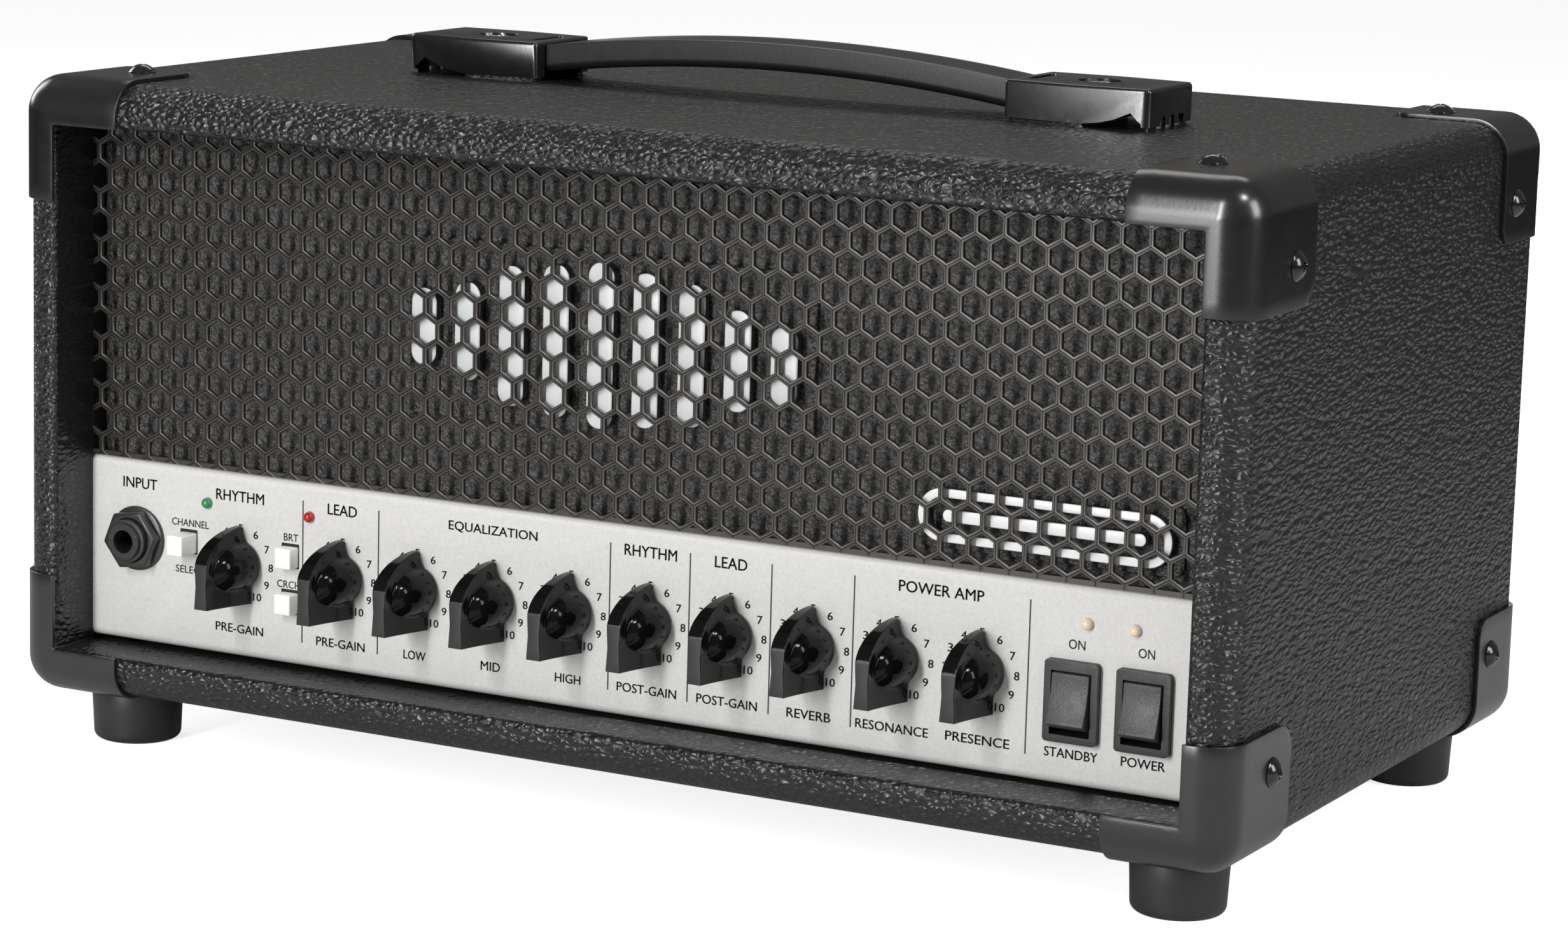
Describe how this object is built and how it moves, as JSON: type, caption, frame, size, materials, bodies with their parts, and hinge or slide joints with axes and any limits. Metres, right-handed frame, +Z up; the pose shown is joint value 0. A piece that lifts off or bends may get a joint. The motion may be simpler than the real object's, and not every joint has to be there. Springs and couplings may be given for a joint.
{
  "type": "guitar amplifier head",
  "caption": "Small valve guitar amplifier head: covered cabinet with corner protectors and a strap handle, hexagon grille, and a control panel whose knobs, buttons and rockers move.",
  "frame": {"origin": "middle of the footprint, on the surface that the feet stand on", "axes": "+Z up, the front panel faces -Y, +X to the right of someone facing the controls"},
  "size_m": [0.369, 0.2137, 0.2012],
  "materials": {
    "board": "raw plywood",
    "covering": "black pebbled vinyl, semi gloss",
    "protector": "satin black",
    "black_screw": "gloss black",
    "foot_rubber": "satin",
    "zinc": "zinc plated",
    "strap": "satin",
    "handle_cap": "satin black",
    "grille": "satin black",
    "backing": "black wrinkle finish",
    "emblem": "pale grey faces",
    "badge": "white",
    "chassis": "plated sheet",
    "panel": "fine satin",
    "black_plastic": "matt",
    "led_green": "translucent",
    "led_red": "translucent",
    "led_clear": "translucent",
    "knob": "gloss black",
    "button": "white",
    "rocker": "fine matt",
    "pot_metal": "plated",
    "pcb": "green solder mask",
    "components": "sleeved",
    "valve_glass": "clear",
    "ceramic": "off-white ceramic",
    "transformer": "dipped laminations",
    "rear_metal": "satin black",
    "nut_metal": "bright"
  },
  "bodies": {
    "cabinet": {"top_board": "board", "bottom_board": "board", "left_board": "board", "right_board": "board", "covering": "covering", "front_corner_protectors": "protector", "rear_corner_protectors": "protector", "corner_screws": "black_screw", "rubber_feet": "foot_rubber", "foot_screws": "zinc", "handle_strap": "strap", "handle_cap_left": "handle_cap", "handle_cap_right": "handle_cap", "handle_screws": "zinc", "front_grille": "grille", "grille_backing": "backing", "front_emblem": "emblem", "badge": "badge", "chassis": "chassis", "control_panel": "panel", "input_jack": "black_plastic", "input_jack_nut": "black_plastic", "rhythm_led": "led_green", "lead_led": "led_red", "valve_status_leds": "led_clear", "push_switches": "black_plastic", "standby_frame": "black_plastic", "power_frame": "black_plastic", "potentiometers": "pot_metal", "circuit_board": "pcb", "board_components": "components", "preamp_valves": "valve_glass", "power_valves": "valve_glass", "valve_sockets": "ceramic", "mains_transformer": "transformer", "output_transformer": "transformer", "rear_vent": "rear_metal", "rear_panel": "rear_metal", "mains_inlet": "black_plastic", "fuse_holder": "black_plastic", "rear_jacks": "black_plastic", "rear_jack_nuts": "nut_metal", "chassis_screws": "black_screw"},
    "rhythm_gain_knob": {"rhythm_gain_knob": "knob"},
    "lead_gain_knob": {"lead_gain_knob": "knob"},
    "low_knob": {"low_knob": "knob"},
    "mid_knob": {"mid_knob": "knob"},
    "high_knob": {"high_knob": "knob"},
    "rhythm_level_knob": {"rhythm_level_knob": "knob"},
    "lead_level_knob": {"lead_level_knob": "knob"},
    "reverb_knob": {"reverb_knob": "knob"},
    "resonance_knob": {"resonance_knob": "knob"},
    "presence_knob": {"presence_knob": "knob"},
    "channel_button": {"channel_button": "button"},
    "bright_button": {"bright_button": "button"},
    "crunch_button": {"crunch_button": "button"},
    "standby_rocker": {"standby_rocker": "rocker"},
    "power_rocker": {"power_rocker": "rocker"}
  },
  "joints": [
    {"name": "rhythm_gain_turn", "type": "hinge", "parent": "cabinet", "child": "rhythm_gain_knob", "pos_m": [-0.1192, -0.0882, 0.0555], "axis": [0, 1, 0], "range_deg": [-150, 150]},
    {"name": "lead_gain_turn", "type": "hinge", "parent": "cabinet", "child": "lead_gain_knob", "pos_m": [-0.0858, -0.0882, 0.0555], "axis": [0, 1, 0], "range_deg": [-150, 150]},
    {"name": "low_turn", "type": "hinge", "parent": "cabinet", "child": "low_knob", "pos_m": [-0.0618, -0.0882, 0.0555], "axis": [0, 1, 0], "range_deg": [-150, 150]},
    {"name": "mid_turn", "type": "hinge", "parent": "cabinet", "child": "mid_knob", "pos_m": [-0.0378, -0.0882, 0.0555], "axis": [0, 1, 0], "range_deg": [-150, 150]},
    {"name": "high_turn", "type": "hinge", "parent": "cabinet", "child": "high_knob", "pos_m": [-0.0138, -0.0882, 0.0555], "axis": [0, 1, 0], "range_deg": [-150, 150]},
    {"name": "rhythm_level_turn", "type": "hinge", "parent": "cabinet", "child": "rhythm_level_knob", "pos_m": [0.0102, -0.0882, 0.0555], "axis": [0, 1, 0], "range_deg": [-150, 150]},
    {"name": "lead_level_turn", "type": "hinge", "parent": "cabinet", "child": "lead_level_knob", "pos_m": [0.0342, -0.0882, 0.0555], "axis": [0, 1, 0], "range_deg": [-150, 150]},
    {"name": "reverb_turn", "type": "hinge", "parent": "cabinet", "child": "reverb_knob", "pos_m": [0.0582, -0.0882, 0.0555], "axis": [0, 1, 0], "range_deg": [-150, 150]},
    {"name": "resonance_turn", "type": "hinge", "parent": "cabinet", "child": "resonance_knob", "pos_m": [0.0822, -0.0882, 0.0555], "axis": [0, 1, 0], "range_deg": [-150, 150]},
    {"name": "presence_turn", "type": "hinge", "parent": "cabinet", "child": "presence_knob", "pos_m": [0.1062, -0.0882, 0.0555], "axis": [0, 1, 0], "range_deg": [-150, 150]},
    {"name": "channel_press", "type": "slide", "parent": "cabinet", "child": "channel_button", "axis": [0, 1, 0], "range_m": [0, 0.003], "stiffness_N_per_m": 400, "springref_m": -0.0005},
    {"name": "bright_press", "type": "slide", "parent": "cabinet", "child": "bright_button", "axis": [0, 1, 0], "range_m": [0, 0.003], "stiffness_N_per_m": 400, "springref_m": -0.0005},
    {"name": "crunch_press", "type": "slide", "parent": "cabinet", "child": "crunch_button", "axis": [0, 1, 0], "range_m": [0, 0.003], "stiffness_N_per_m": 400, "springref_m": -0.0005},
    {"name": "standby_tilt", "type": "hinge", "parent": "cabinet", "child": "standby_rocker", "pos_m": [0.1319, -0.0861, 0.0508], "axis": [1, 0, 0], "range_deg": [0, 27]},
    {"name": "power_tilt", "type": "hinge", "parent": "cabinet", "child": "power_rocker", "pos_m": [0.1514, -0.0861, 0.0508], "axis": [1, 0, 0], "range_deg": [0, 27]}
  ]
}
